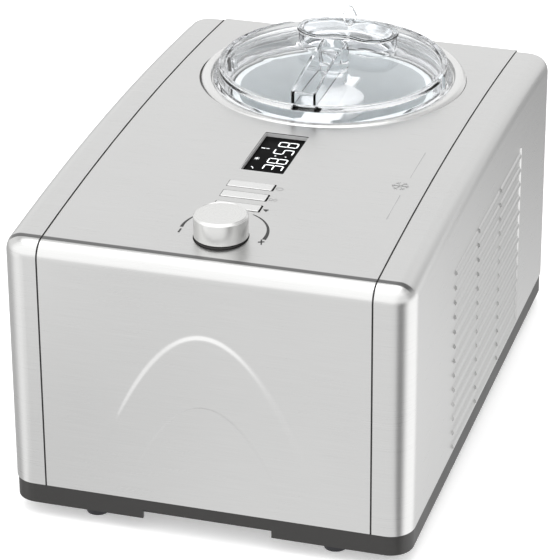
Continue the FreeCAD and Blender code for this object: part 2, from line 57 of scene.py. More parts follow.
class Field:
    def __init__(self, tree, socket):
        self.tree = tree
        self.socket = socket

    def make(self, kind, inputs=None, output=0, **settings):
        node = self.tree.nodes.new(kind)
        for name, value in settings.items():
            setattr(node, name, value)
        for name, value in (inputs or {}).items():
            if isinstance(value, Field):
                self.tree.links.new(value.socket, node.inputs[name])
            else:
                node.inputs[name].default_value = value
        return Field(self.tree, node.outputs[output])

    def maths(self, operation, first, second=0.0, third=0.0):
        return self.make("ShaderNodeMath", {0: first, 1: second, 2: third}, operation=operation)

    def __add__(self, other):
        return self.maths("ADD", self, other)

    def __radd__(self, other):
        return self.maths("ADD", other, self)

    def __rtruediv__(self, other):
        return self.maths("DIVIDE", other, self)

    def __sub__(self, other):
        return self.maths("SUBTRACT", self, other)

    def __rsub__(self, other):
        return self.maths("SUBTRACT", other, self)

    def __mul__(self, other):
        return self.maths("MULTIPLY", self, other)

    def __rmul__(self, other):
        return self.maths("MULTIPLY", other, self)

    def __truediv__(self, other):
        return self.maths("DIVIDE", self, other)

    def step(self, low, high, bottom=0.0, top=1.0):
        return self.make("ShaderNodeMapRange", {0: self, 1: low, 2: high, 3: bottom, 4: top},
                         interpolation_type="SMOOTHSTEP")

    def noise(self, size, stretch=(1, 1, 1), detail=3.0):
        # noise with features of the given size in metres, drawn out along the stretched axes
        scaled = self.make("ShaderNodeVectorMath", {0: self, 1: tuple(1 / (size * s) for s in stretch)},
                           operation="MULTIPLY")
        return self.make("ShaderNodeTexNoise", {"Vector": scaled, "Scale": 1.0, "Detail": detail})

    def cells(self, size):
        scaled = self.make("ShaderNodeVectorMath", {0: self, 1: (1 / size,) * 3}, operation="MULTIPLY")
        return self.make("ShaderNodeTexVoronoi", {"Vector": scaled, "Scale": 1.0})

    def part(self, axis):
        return self.make("ShaderNodeSeparateXYZ", {0: self}, output=axis)

    def band(self, rise, fall):
        # rises from 0 to 1 over one pair of values and falls back over another
        return self.step(*rise) * (1 - self.step(*fall))

    def blend(self, dark, light):
        # colour that runs from dark to light as this field runs from 0 to 1
        return self.make("ShaderNodeMix", {0: self, 6: (*dark, 1), 7: (*light, 1)},
                         output=2, data_type="RGBA")

    def bump(self, height, strength=1.0):
        return self.make("ShaderNodeBump", {"Strength": strength, "Distance": height, "Height": self})


def newMaterial(name, paint, **constants):
    material = bpy.data.materials.new(name)
    material.use_nodes = True
    tree = material.node_tree
    shader = tree.nodes["Principled BSDF"]
    for socket, value in constants.items():
        shader.inputs[socket.replace("_", " ")].default_value = value
    coords = tree.nodes.new("ShaderNodeTexCoord")
    for socket, value in paint(Field(tree, coords.outputs["Object"])).items():
        tree.links.new(value.socket, shader.inputs[socket])
    return material


def shades(colour, spread):
    dark = tuple(max(0.0, c * (1 - spread)) for c in colour)
    light = tuple(min(1.0, c * (1 + spread)) for c in colour)
    return dark, light


def brushed(name, colour, settings):
    # brushed sheet: grain runs across X on the top and level round the upright faces,
    # with a painted dark reflection line where the front bend starts
    def paint(at):
        low, high = settings["bendReflectionY"]
        soft = settings["bendSoft"]
        line = at.part(1).band((low - soft, low + soft), (high - soft, high + soft))
        facingUp = at.make("ShaderNodeNewGeometry", output=1).part(2).step(0.5, 0.8)
        # painted reflection: darkens a thin band of the up-facing sheet where the front bend starts
        bendReflectionMask = line * at.part(2).step(*settings["bendAbove"]) * facingUp
        level = at.noise(settings["size"], (90, 90, 1), 2.0)
        across = at.noise(settings["size"], (90, 1, 90), 2.0)
        grain = level * (1 - facingUp) + across * facingUp
        broad = at.noise(0.09, (1, 1, 1), 1.0)
        tone = (grain * 0.8 + broad * 0.2).step(0.25, 0.75).blend(*shades(colour, settings["spread"]))
        return {
            # base colour with the painted dark reflection band mixed in
            "Base Color": bendReflectionMask.make("ShaderNodeMix", {0: bendReflectionMask, 6: tone, 7: settings["bendReflectionTone"]},
                                    output=2, data_type="RGBA"),
            "Roughness": grain * settings["sparkle"] + (broad * 0.02 + settings["roughness"]),
            "Normal": grain.bump(settings["scratch"], 0.35),
        }
    return newMaterial(name, paint, Metallic=1.0)


def metal(name, colour, roughness=0.3, grain=(1, 1, 60), size=0.0004, spread=0.03, bump=0.00001, **more):
    # fine drawn-out grain plus broad faint unevenness
    def paint(at):
        fine = at.noise(size, grain, 2.0)
        broad = at.noise(0.05, (1, 1, 1), 2.0)
        return {
            "Base Color": (fine * 0.7 + broad * 0.3).step(0.3, 0.7).blend(*shades(colour, spread)),
            "Roughness": fine * 0.14 + (broad * 0.08 + (roughness - 0.11)),
            "Normal": fine.bump(bump, 0.6),
        }
    return newMaterial(name, paint, Metallic=1.0, **more)


def plastic(name, colour, roughness=0.45, size=0.0006, spread=0.05, bump=0.00002, **more):
    # moulded surface: fine spark texture with faint broad variation
    def paint(at):
        fine = at.noise(size, (1, 1, 1), 2.0)
        broad = at.noise(0.03, (1, 1, 1), 2.0)
        return {
            "Base Color": (fine * 0.4 + broad * 0.6).step(0.3, 0.7).blend(*shades(colour, spread)),
            "Roughness": broad * 0.1 + (fine * 0.08 + (roughness - 0.09)),
            "Normal": fine.bump(bump, 0.5),
        }
    return newMaterial(name, paint, **more)


def clear(name, tint, settings):
    # clear moulding with very faint ripples and scuffs
    def paint(at):
        ripple = at.noise(0.012, (1, 1, 1), 2.0)
        scuff = at.noise(0.002, (1, 1, 1), 3.0)
        return {
            "Base Color": ripple.step(0.3, 0.7).blend(*shades(tint, 0.01)),
            "Roughness": scuff.step(0.5, 0.8, settings["roughness"], settings["roughness"] + 0.03),
            "Normal": ripple.bump(0.00003, 0.3),
        }
    return newMaterial(name, paint, Transmission_Weight=1.0, IOR=settings["bend"])


def spun(name, colour, centre, roughness=0.28):
    # turned metal: grain follows circles round the centre
    def paint(at):
        local = at.make("ShaderNodeVectorMath", {0: at, 1: (*centre, 0.0)}, operation="SUBTRACT")
        radius = local.make("ShaderNodeVectorMath", {0: local, 1: (1.0, 1.0, 0.0)}, operation="MULTIPLY")
        radius = radius.make("ShaderNodeVectorMath", {0: radius}, output=1, operation="LENGTH")
        rings = radius.make("ShaderNodeTexNoise", {"W": radius * 3500.0, "Scale": 1.0, "Detail": 2.0},
                            noise_dimensions="1D")
        return {
            "Base Color": rings.step(0.3, 0.7).blend(*shades(colour, 0.05)),
            "Roughness": rings * 0.16 + (roughness - 0.08),
            "Normal": rings.bump(0.00001, 0.5),
        }
    return newMaterial(name, paint, Metallic=1.0)


def boardPaint(at):
    # green mask with paler copper traces under it
    tracks = at.noise(0.004, (1, 6, 1), 1.0).step(0.5, 0.53)
    rough = at.noise(0.0008, (1, 1, 1), 2.0)
    return {
        "Base Color": tracks.blend((0.01, 0.11, 0.05), (0.03, 0.2, 0.1)),
        "Roughness": rough * 0.2 + 0.25,
        "Normal": tracks.bump(0.00004, 0.5),
    }


def foamPaint(at):
    # closed cells of a rigid foam skin
    cells = at.cells(0.002)
    broad = at.noise(0.02, (1, 1, 1), 2.0)
    return {
        "Base Color": (cells * 0.5 + broad * 0.5).step(0.2, 0.7).blend((0.66, 0.6, 0.42),
                                                                       (0.86, 0.82, 0.66)),
        "Roughness": broad * 0.2 + 0.6,
        "Normal": cells.bump(0.0003, 0.6),
    }


def digitPaint(at):
    # lit bars with faint unevenness
    glow = at.noise(0.0004, (1, 1, 1), 1.0)
    return {"Base Color": glow.blend((0.85, 0.88, 0.9), (1.0, 1.0, 1.0)),
            "Emission Color": glow.blend((0.9, 0.95, 1.0), (1.0, 1.0, 1.0)),
            "Roughness": glow * 0.1 + 0.35}


knobAt = (0.0, -0.170)
wellAt = (0.0, 0.104)
# the last four entries place and colour a painted dark reflection along the front-top bend
steel = {"colour": (0.61, 0.61, 0.605), "size": 0.0004, "spread": 0.03, "sparkle": 0.08, "roughness": 0.24,
         "scratch": 0.000006, "bendReflectionY": (-0.2023, -0.1984), "bendSoft": 0.0005, "bendAbove": (0.2, 0.203),
         "bendReflectionTone": (0.16, 0.16, 0.16, 1)}
clearLook = {"bend": 1.24, "roughness": 0.02}
finishes = {
    "steel": brushed("brushedSteel", steel["colour"], steel),
    "rear_steel": plastic("greyPaint", (0.42, 0.42, 0.42), 0.4, Metallic=0.3),
    "black_plastic": plastic("blackMoulding", (0.018, 0.017, 0.016), 0.42),
    "foot_rubber": plastic("footRubber", (0.016, 0.016, 0.02), 0.7, 0.001),
    "gland_rubber": plastic("glandRubber", (0.012, 0.012, 0.012), 0.55, 0.001),
    "collar_plastic": plastic("silverCollar", (0.68, 0.68, 0.675), 0.24, 0.0008, 0.02, 0.00001,
                              Metallic=0.75),
    "knob_metal": spun("turnedKnob", (0.72, 0.72, 0.71), knobAt),
    "key_metal": metal("keyBars", (0.74, 0.74, 0.735), 0.28, (40, 1, 1), 0.0003, 0.02, 0.000004),
    "spring_steel": metal("springWire", (0.55, 0.55, 0.54), 0.25, (1, 1, 1), 0.0002, 0.08),
    "guide_plastic": plastic("guideWhite", (0.72, 0.72, 0.68), 0.5),
    "encoder_metal": metal("encoderCan", (0.5, 0.5, 0.47), 0.35, (1, 20, 1), 0.0003, 0.06),
    "lens": plastic("smokedLens", (0.001, 0.001, 0.0012), 0.3, 0.002, 0.2, 0.000002,
                    Specular_IOR_Level=0.02),
    "module": plastic("moduleBlack", (0.02, 0.02, 0.024), 0.5),
    "pcb": newMaterial("circuitBoard", boardPaint, IOR=1.5),
    "black_paint": plastic("compressorPaint", (0.012, 0.012, 0.012), 0.3, 0.004, 0.2, 0.0002,
                           Coat_Weight=0.4),
    "fins": metal("finSheet", (0.7, 0.71, 0.73), 0.35, (1, 1, 30), 0.0003, 0.06),
    "copper": metal("copperTube", (0.72, 0.36, 0.2), 0.3, (1, 1, 1), 0.003, 0.18, 0.00003),
    "motor_steel": metal("motorCan", (0.4, 0.41, 0.43), 0.38, (1, 1, 25), 0.0004, 0.08),
    "fan_plastic": plastic("fanBlack", (0.03, 0.03, 0.034), 0.5),
    "drum_metal": metal("drumSheet", (0.66, 0.67, 0.68), 0.35, (1, 1, 40), 0.0004, 0.05),
    "foam": newMaterial("rigidFoam", foamPaint),
    "gear_case": plastic("gearCase", (0.05, 0.05, 0.055), 0.5, 0.001),
    "gear_plastic": plastic("acetal", (0.78, 0.76, 0.68), 0.4),
    "pinion_brass": metal("cutBrass", (0.75, 0.55, 0.25), 0.3, (1, 1, 30), 0.0003, 0.06),
    "shaft_steel": metal("groundSteel", (0.6, 0.6, 0.6), 0.22, (1, 1, 1), 0.0003, 0.04),
    "bush_bronze": metal("sinteredBronze", (0.5, 0.34, 0.16), 0.5, (1, 1, 1), 0.0004, 0.2, 0.00004),
    "screw_steel": metal("platedScrew", (0.55, 0.55, 0.56), 0.3, (1, 1, 1), 0.0005, 0.06),
    "wire_sleeve": plastic("braidedSleeve", (0.015, 0.015, 0.015), 0.6, 0.0008, 0.3, 0.0002),
    "bowl_metal": plastic("bowlSheet", (0.84, 0.87, 0.88), 0.34, 0.0006, 0.02, Metallic=0.3),
    "paddle_plastic": plastic("paddleWhite", (0.86, 0.87, 0.88), 0.32, 0.001, 0.02),
    "seal_rubber": plastic("sealSilicone", (0.6, 0.6, 0.61), 0.45),
    "clear_plastic": clear("clearMoulding", (0.965, 0.975, 0.985), clearLook),
}
digitLight = newMaterial("digitLight", digitPaint, Emission_Strength=1.0)
inkBlack = plastic("printBlack", (0.02, 0.02, 0.02), 0.5)
inkGrey = plastic("printGrey", (0.36, 0.36, 0.36), 0.5)
print("stage: materials ready")

for entry in frame["record"]["subparts"]:
    node = frame["nodes"][entry["node"]]
    node.data.materials.clear()
    node.data.materials.append(finishes[entry["material_slot"]])
    node.data.shade_smooth()
    node.data.set_sharp_from_angle(angle=math.radians(32))


# mesh helpers

def meshObject(name, points, faces, material, body, replaces=(), smooth=40):
    mesh = bpy.data.meshes.new(name)
    mesh.from_pydata(np.asarray(points, float).reshape(-1, 3) * mm, [], faces)
    mesh.validate()
    piece = bpy.data.objects.new(name, mesh)
    bpy.context.scene.collection.objects.link(piece)
    outward(mesh)
    mesh.materials.append(material)
    mesh.shade_smooth()
    mesh.set_sharp_from_angle(angle=math.radians(smooth))
    if body:
        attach(piece, body)
    if replaces:
        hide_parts(*replaces)
    return piece


def outward(mesh):
    shape = bmesh.new()
    shape.from_mesh(mesh)
    bmesh.ops.recalc_face_normals(shape, faces=shape.faces)
    shape.to_mesh(mesh)
    shape.free()


def gridFaces(rows, columns, closeRows=False, closeColumns=False):
    # four-cornered faces between neighbouring rows and columns of points, closed round where asked
    i = np.arange(rows if closeRows else rows - 1)[:, None]
    j = np.arange(columns if closeColumns else columns - 1)[None, :]
    nextRow = (i + 1) % rows
    nextColumn = (j + 1) % columns
    corners = np.broadcast_arrays(i * columns + j, nextRow * columns + j,
                                  nextRow * columns + nextColumn, i * columns + nextColumn)
    return np.stack(corners, -1).reshape(-1, 4).tolist()


def rounded(points, radius, closed=True, steps=6):
    # outline with every corner replaced by an arc of the radius (or of its own, as a third value)
    points = [tuple(p) if len(p) == 3 else (*p, radius) for p in points]
    result = []
    count = len(points)
    for i, (x, y, r) in enumerate(points):
        here = np.array([x, y])
        if not closed and i in (0, count - 1):
            result.append(here)
            continue
        before = np.array(points[i - 1][:2]) - here
        after = np.array(points[(i + 1) % count][:2]) - here
        lengths = np.linalg.norm(before), np.linalg.norm(after)
        before = before / lengths[0]
        after = after / lengths[1]
        half = math.acos(max(-1, min(1, float(before @ after)))) / 2
        if r <= 0 or half > 1.55:
            result.append(here)
            continue
        reach = min(r / math.tan(half), lengths[0] * 0.49, lengths[1] * 0.49)
        r = reach * math.tan(half)
        middle = here + (before + after) / np.linalg.norm(before + after) * r / math.sin(half)
        start = here + before * reach - middle
        end = here + after * reach - middle
        sweep = math.pi - 2 * half
        turn = start[0] * end[1] - start[1] * end[0]
        for k in range(steps + 1):
            a = sweep * k / steps * (1 if turn > 0 else -1)
            c = math.cos(a)
            s = math.sin(a)
            result.append(middle + np.array([c * start[0] - s * start[1], s * start[0] + c * start[1]]))
    return np.array(result)


def lathe(name, profile, centre, material, body=None, replaces=(), segments=128, closed=True, smooth=40):
    # each profile point (r, z) swept round the centre; open profiles start and end on the axis
    turn = np.linspace(0, 2 * math.pi, segments, endpoint=False)
    r = profile[:, 0][:, None]
    z = profile[:, 1][:, None]
    x = centre[0] * 1000
    y = centre[1] * 1000
    points = np.stack(np.broadcast_arrays(x + r * np.cos(turn), y + r * np.sin(turn), z), -1)
    if closed:
        faces = gridFaces(len(profile), segments, True, True)
        return meshObject(name, points, faces, material, body, replaces, smooth)
    inner = points[1:-1].reshape(-1, 3)
    faces = gridFaces(len(profile) - 2, segments, False, True)
    poles = np.array([[x, y, profile[0, 1]], [x, y, profile[-1, 1]]])
    base = len(inner)
    ring = np.arange(segments)
    after = (ring + 1) % segments
    last = base - segments
    faces += np.stack([np.full(segments, base), ring, after], -1).tolist()
    faces += np.stack([np.full(segments, base + 1), last + after, last + ring], -1).tolist()
    return meshObject(name, np.vstack([inner, poles]), faces, material, body, replaces, smooth)


def rod(name, radius, low, high, centre, material):
    outline = np.array([(0, low), (radius, low), (radius, high), (0, high)], float)
    return lathe(name, outline, centre, material, closed=False)


def stack(name, rings, material, body=None, replaces=(), smooth=40, place=None):
    # solid through a pile of closed outlines, flat at both ends
    rings = np.array(rings)
    layers, count = rings.shape[:2]
    if place is not None:
        rings = place(rings)
    faces = gridFaces(layers, count, False, True)
    faces.append(list(range(count)))
    faces.append(list(range((layers - 1) * count, layers * count)))
    return meshObject(name, rings.reshape(-1, 3), faces, material, body, replaces, smooth)


def slab(name, outline, low, high, edge, material, body=None, replaces=(), smooth=40, place=None):
    # plate whose outline(inset) pulls in along a quarter round at its rims
    turns = np.linspace(0, math.pi / 2, 5)
    bottom = [(edge * (1 - math.sin(t)), low + edge * (1 - math.cos(t))) for t in turns]
    top = [(edge * (1 - math.cos(t)), high - edge * (1 - math.sin(t))) for t in turns]
    rings = []
    for inset, z in bottom + top:
        flat = outline(inset)
        rings.append(np.column_stack([flat, np.full(len(flat), z)]))
    return stack(name, rings, material, body, replaces, smooth, place)


def roundRect(x0, x1, y0, y1, radius):
    def outline(inset):
        left = x0 + inset
        right = x1 - inset
        near = y0 + inset
        far = y1 - inset
        return rounded([(left, near), (right, near), (right, far), (left, far)], max(radius - inset, 0.01))
    return outline


def merge(target, others, operation="UNION"):
    # joins or cuts closed solids and keeps one clean mesh
    for other in others:
        step = target.modifiers.new("merge", "BOOLEAN")
        step.operation = operation
        step.solver = "MANIFOLD"
        step.object = other
    bpy.context.view_layer.update()
    graph = bpy.context.evaluated_depsgraph_get()
    result = bpy.data.meshes.new_from_object(target.evaluated_get(graph))
    target.modifiers.clear()
    old = target.data
    target.data = result
    bpy.data.meshes.remove(old)
    for other in others:
        bpy.data.objects.remove(other)
    result.shade_smooth()
    result.set_sharp_from_angle(angle=math.radians(35))
    return target


def crownCircle():
    # circle through the three heights of the top, seen from the side
    a = np.array([-casing["halfLength"], casing["frontTop"]])
    b = np.array([0.0, casing["midTop"]])
    c = np.array([casing["halfLength"], casing["rearTop"]])
    matrix = 2 * np.array([b - a, c - a])
    centre = np.linalg.solve(matrix, np.array([b @ b - a @ a, c @ c - a @ a]))
    return centre, float(np.linalg.norm(b - centre))


crownCentre, crownRadius = crownCircle()


def crown(y):
    # height of the top at y: centre height plus the root of radius squared less distance squared
    return crownCentre[1] + np.sqrt(crownRadius ** 2 - (np.asarray(y, float) - crownCentre[0]) ** 2)


def smoothstep(x, low, high):
    # 3 t squared less 2 t cubed, with t held between 0 and 1
    t = np.clip((x - low) / (high - low), 0, 1)
    return t * t * (3 - 2 * t)


# front and top sheet

relief = {"outerTop": 158.8, "outerSpread": 0.018, "outerRamp": 4.2,
          "innerTop": 105.6, "innerSpread": 0.022, "innerRamp": 1.3,
          "lift": 1.4, "fadeLow": 40.0, "fadeHigh": 125.0}
keyRows = {"upper": -96.0, "middle": -111.5, "lower": -127.5}
openings = {"wellR": 98.8, "knobR": 18.9, "window": (-17, 15, -74.5, -11), "windowCorner": 1.2,
            "flange": (-18, 16, -75.5, -10), "flangeLow": 213.1, "flangeTop": 217.4,
            "keyLeft": -18.4, "keyRight": 15.3, "keyHalf": 5.0}


def sheetProfile():
    # side view of the sheet: up the front, round the bend, along the crown, round the rear bend
    front = -casing["halfLength"]
    rear = casing["halfLength"]
    crownY = np.linspace(front, rear, 9)
    middle = [(y, float(crown(y)), 0) for y in crownY[1:-1]]
    turns = [(front, casing["low"]), (front, casing["frontTop"], casing["bend"])] + middle
    turns += [(rear, casing["rearTop"], casing["bend"]), (rear, casing["rearLow"])]
    return rounded(turns, 0, False, 10)


def resampled(line, weights):
    # line resampled so that each weighted stretch gets its own number of points
    lengths = np.concatenate([[0], np.cumsum(np.linalg.norm(np.diff(line, axis=0), axis=1))])
    total = lengths[-1]
    stretches = [np.linspace(a, b, count, endpoint=False) for a, b, count in weights(total)]
    stations = np.concatenate(stretches + [[total]])
    return np.column_stack([np.interp(stations, lengths, line[:, k]) for k in (0, 1)])


def reliefHeight(x, z):
    # raised crescent between two parabolic arches: lift times a soft step over the outer arch,
    # a soft step over the inner arch, and a fade towards the lower ends
    outer = relief["outerTop"] - relief["outerSpread"] * x ** 2 - z
    inner = z - (relief["innerTop"] - relief["innerSpread"] * x ** 2)
    slopeOut = np.sqrt(1 + (2 * relief["outerSpread"] * x) ** 2)
    slopeIn = np.sqrt(1 + (2 * relief["innerSpread"] * x) ** 2)
    rise = smoothstep(outer / slopeOut, -relief["outerRamp"] / 2, relief["outerRamp"] / 2)
    fall = smoothstep(inner / slopeIn, -relief["innerRamp"] / 2, relief["innerRamp"] / 2)
    return relief["lift"] * rise * fall * smoothstep(z, relief["fadeLow"], relief["fadeHigh"])


def windowFlange():
    # turned-down rim of the window opening
    outline = roundRect(*openings["flange"], 1.8)
    return slab("windowFlange", outline, openings["flangeLow"], openings["flangeTop"], 0.05, inkBlack)


def sheetStretches(total):
    # start, end and number of points along the side view, densest over the relief and the bends
    rearBend = total - 34
    return [(0, 18, 8), (18, 142, 150), (142, 172, 6), (172, 194, 18), (194, rearBend, 40),
            (rearBend, total, 18)]


def frontTopSheet():
    # the side view drawn out along X, with a second skin one sheet thickness further in
    line = resampled(sheetProfile(), sheetStretches)
    along = np.gradient(line, axis=0)
    along /= np.linalg.norm(along, axis=1)[:, None]
    normal = np.column_stack([-along[:, 1], along[:, 0]])
    dense = 62
    x = np.concatenate([np.linspace(-casing["seam"], -dense, 18, endpoint=False),
                        np.linspace(-dense, dense, 152, endpoint=False),
                        np.linspace(dense, casing["seam"], 19)])
    skins = []
    for depth in (0.0, casing["sheet"]):
        y = (line[:, 0] - normal[:, 0] * depth)[:, None] + 0 * x
        z = (line[:, 1] - normal[:, 1] * depth)[:, None] + 0 * x
        onFront = smoothstep(-y, 205, 211)
        y = y - reliefHeight(x[None, :] + 0 * z, z) * onFront
        skins.append(np.stack([x[None, :] + 0 * y, y, z], -1))
    tall, wide = skins[0].shape[:2]
    faces = gridFaces(tall, wide)
    back = [[v + tall * wide for v in reversed(f)] for f in faces]
    rim = np.concatenate([np.arange(wide), np.arange(1, tall) * wide + wide - 1,
                          (tall - 1) * wide + np.arange(wide - 2, -1, -1),
                          np.arange(tall - 2, 0, -1) * wide])
    after = np.roll(rim, -1)
    edge = np.stack([rim, after, after + tall * wide, rim + tall * wide], -1).tolist()
    points = np.concatenate([skin.reshape(-1, 3) for skin in skins])
    sheet = meshObject("frontTopSheet", points, faces + back + edge, finishes["steel"], "housing",
                       ("top_front_panel",))
    cutters = [rod("wellCut", openings["wellR"], 150, 260, wellAt, inkBlack),
               rod("knobCut", openings["knobR"], 190, 240, knobAt, inkBlack),
               slab("windowCut", roundRect(*openings["window"], openings["windowCorner"]), 190, 240, 0.01,
                    inkBlack)]
    for y in keyRows.values():
        outline = roundRect(openings["keyLeft"], openings["keyRight"], y - openings["keyHalf"],
                            y + openings["keyHalf"], 0.9)
        cutters.append(slab("keyCut", outline, 190, 240, 0.01, inkBlack))
    return merge(merge(sheet, [windowFlange()]), cutters, "DIFFERENCE")


frontTopSheet()
print("stage: front and top sheet")

# well collar

collar = {"inner": 77, "outer": 98.5, "bore": 90.0, "seat": 86.2, "low": 203, "floor": 206, "ledge": 214,
          "shoulder": 214.6, "crest": 95.4, "top": 218.2}
profile = rounded([(collar["inner"], collar["low"], 0.6), (collar["outer"], collar["low"], 0.6),
                   (collar["outer"], collar["shoulder"], 1.5), (collar["crest"], collar["top"], 3.0),
                   (collar["bore"], collar["top"], 1.2), (collar["bore"], collar["ledge"], 0.6),
                   (collar["seat"], collar["ledge"], 0.8), (collar["seat"], collar["floor"], 1.5),
                   (collar["inner"], collar["floor"], 1.0)], 1.0)
lathe("wellCollar", profile, wellAt, finishes["collar_plastic"], "housing", ("lid_collar",), 160)

# knob

knob = {"radius": 18.5, "low": 214.6, "top": 231.0, "dish": 230.6, "wall": 16.3, "roof": 226,
        "stem": 6, "stemLow": 217, "bore": 3.05, "boreTop": 226.5}
profile = rounded([(0, knob["dish"], 0), (16.6, knob["dish"], 0.4), (17.0, knob["top"], 0.4),
                   (knob["radius"], 229.3, 0.9), (knob["radius"], 215.0, 0.5), (17.8, knob["low"], 0.3),
                   (knob["wall"], knob["low"], 0.2), (knob["wall"], knob["roof"], 1.0),
                   (knob["stem"], knob["roof"], 0.5), (knob["stem"], knob["stemLow"], 0.3),
                   (knob["bore"], knob["stemLow"], 0.2), (knob["bore"], knob["boreTop"], 0),
                   (0, knob["boreTop"], 0)], 0.3, False)
lathe("knobShell", profile, knobAt, finishes["knob_metal"], "knob", ("control_knob",), 128, False, 30)
print("stage: collar and knob")

# keys

keys = {"left": -18, "right": 14, "half": 4.6, "base": 212.4, "proud": 0.3, "stemX": -2.0, "stemR": 2.4,
        "stemLow": 205.3, "stemTop": 213}
for name, y in keyRows.items():
    outline = roundRect(keys["left"], keys["right"], y - keys["half"], y + keys["half"], 0.8)
    bar = slab("keyBar_" + name, outline, keys["base"], float(crown(y)) + keys["proud"], 0.3,
               finishes["key_metal"], "key_" + name, ("key_" + name,), 35)
    stemAt = (keys["stemX"] * mm, y * mm)
    stem = rod("stem", keys["stemR"], keys["stemLow"], keys["stemTop"], stemAt, finishes["key_metal"])
    merge(bar, [stem])

# printed marks on the crowned top


def onCrown(points, lift):
    points = np.asarray(points, float)
    return np.column_stack([points, crown(points[:, 1]) + lift])


def marks(name, shapes, material, lift=0.06, surface=None):
    # thin closed plates, one per outline
    points = []
    faces = []
    for shape in shapes:
        shape = np.asarray(shape, float)
        count = len(shape)
        start = len(points)
        low = onCrown(shape, 0.0) if surface is None else np.column_stack([shape, np.full(count, surface)])
        high = low + np.array([0, 0, lift])
        points += low.tolist() + high.tolist()
        ring = list(range(start, start + count))
        faces.append(ring[::-1])
        faces.append([v + count for v in ring])
        after = ring[1:] + ring[:1]
        faces += [[a, b, b + count, a + count] for a, b in zip(ring, after)]
    return meshObject(name, points, faces, material, "housing")


def arcBand(centre, radius, start, end, widthStart, widthEnd, steps=28):
    # arc from one angle in degrees to another, whose width changes evenly
    turn = np.radians(np.linspace(start, end, steps))
    width = np.linspace(widthStart, widthEnd, steps) / 2
    unit = np.column_stack([np.cos(turn), np.sin(turn)])
    outer = np.array(centre) + unit * (radius + width)[:, None]
    inner = np.array(centre) + unit * (radius - width)[:, None]
    return np.vstack([outer, inner[::-1]])


def strip(a, b, width):
    a = np.array(a, float)
    b = np.array(b, float)
    side = np.array([-(b - a)[1], (b - a)[0]]) / np.linalg.norm(b - a) * width / 2
    return np.array([a + side, b + side, b - side, a - side])


def outlineRing(centre, rx, ry, width, steps=28):
    # oval line of even width
    turn = np.linspace(0, 2 * math.pi, steps)
    outer = np.array(centre) + np.column_stack([np.cos(turn) * rx, np.sin(turn) * ry])
    inner = np.array(centre) + np.column_stack([np.cos(turn) * (rx - width), np.sin(turn) * (ry - width)])
    return np.vstack([outer, inner[::-1]])


dialCentre = (0, -163)
dial = [arcBand(dialCentre, 29.6, 151, 182.5, 0.7, 2.3), arcBand(dialCentre, 29.3, 66, -8.5, 0.3, 2.7),
        strip((-29.1, -166.8), (-29.4, -171.8), 1.1), strip((26.1, -171.7), (30.2, -170.1), 1.0),
        strip((27.5, -167.9), (28.0, -170.2), 1.0), strip((28.5, -171.7), (29.2, -174.2), 1.0)]
marks("dialMarks", dial, inkBlack)
icons = [outlineRing((18.6, -96.3), 2.8, 2.0, 0.4), outlineRing((17.2, -112.8), 1.6, 1.6, 0.4),
         outlineRing((20.4, -112.8), 1.6, 1.6, 0.4)]
marks("keySymbols", icons, inkGrey)
marks("startSymbol", [np.array([(16.4, -127.6), (20.4, -127.2), (19.0, -130.2)])], inkBlack)
# six-armed snowflake between two thin rules
frost = {"centre": (97, -70), "arm": 6, "hub": 0.6, "knee": 3.8, "twig": 2.2, "spread": 50, "ruleX": 100.5}
middle = np.array(frost["centre"], float)
flake = []
for turn in range(0, 360, 60):
    way = np.array([math.cos(math.radians(turn)), math.sin(math.radians(turn))])
    flake.append(strip(middle + frost["hub"] * way, middle + frost["arm"] * way, 0.7))
    knee = middle + frost["knee"] * way
    for side in (-1, 1):
        lean = math.radians(turn) + side * math.radians(frost["spread"])
        flake.append(strip(knee, knee + frost["twig"] * np.array([math.cos(lean), math.sin(lean)]), 0.55))
for start, end in ((-120, -84), (-56, -14)):
    flake.append(strip((frost["ruleX"], start), (frost["ruleX"], end), 0.5))
marks("frostMark", flake, inkGrey)
print("stage: keys and marks")

# display

lensTop = 215.2
slab("displayGlass", roundRect(-16.7, 14.7, -74.2, -11.3, 1.0), lensTop - 1.8, lensTop, 0.15,
     finishes["lens"], "housing", ("display_lens",))

frameWall = slab("windowBezel", roundRect(-16.98, 14.98, -74.48, -11.02, 1.2), lensTop + 0.05, 217.7, 0.05,
                 plastic("bezelGrey", (0.5, 0.5, 0.5), 0.4), "housing")
bezelCut = slab("bezelCut", roundRect(-16.4, 14.4, -73.9, -11.6, 0.8), 210, 230, 0.01, inkBlack)
merge(frameWall, [bezelCut], "DIFFERENCE")

# ends of the seven bars in half heights and widths, and the bars lit for each figure
segments = {"a": ((0, 2), (1, 2)), "b": ((1, 2), (1, 1)), "c": ((1, 1), (1, 0)), "d": ((0, 0), (1, 0)),
            "e": ((0, 1), (0, 0)), "f": ((0, 2), (0, 1)), "g": ((0, 1), (1, 1))}
lit = {"3": "abcdg", "8": "abcdefg", "5": "acdfg"}


figure = {"baseX": 9.8, "height": 13.4, "width": 7.2, "half": 0.42, "gap": 0.65, "point": 0.4}


def digit(symbol, startY):
    # seven bars; figures stand with their tops towards -X and read along +Y
    bars = []
    for name in lit[symbol]:
        (u0, v0), (u1, v1) = segments[name]
        a = np.array([figure["baseX"] - v0 * figure["height"] / 2, startY + u0 * figure["width"]])
        b = np.array([figure["baseX"] - v1 * figure["height"] / 2, startY + u1 * figure["width"]])
        way = (b - a) / np.linalg.norm(b - a)
        side = np.array([-way[1], way[0]]) * figure["half"]
        a = a + way * figure["gap"]
        b = b - way * figure["gap"]
        tip = way * figure["point"]
        bars.append(np.array([a - tip, a + side, b + side, b + tip, b - side, a - side]))
    return bars


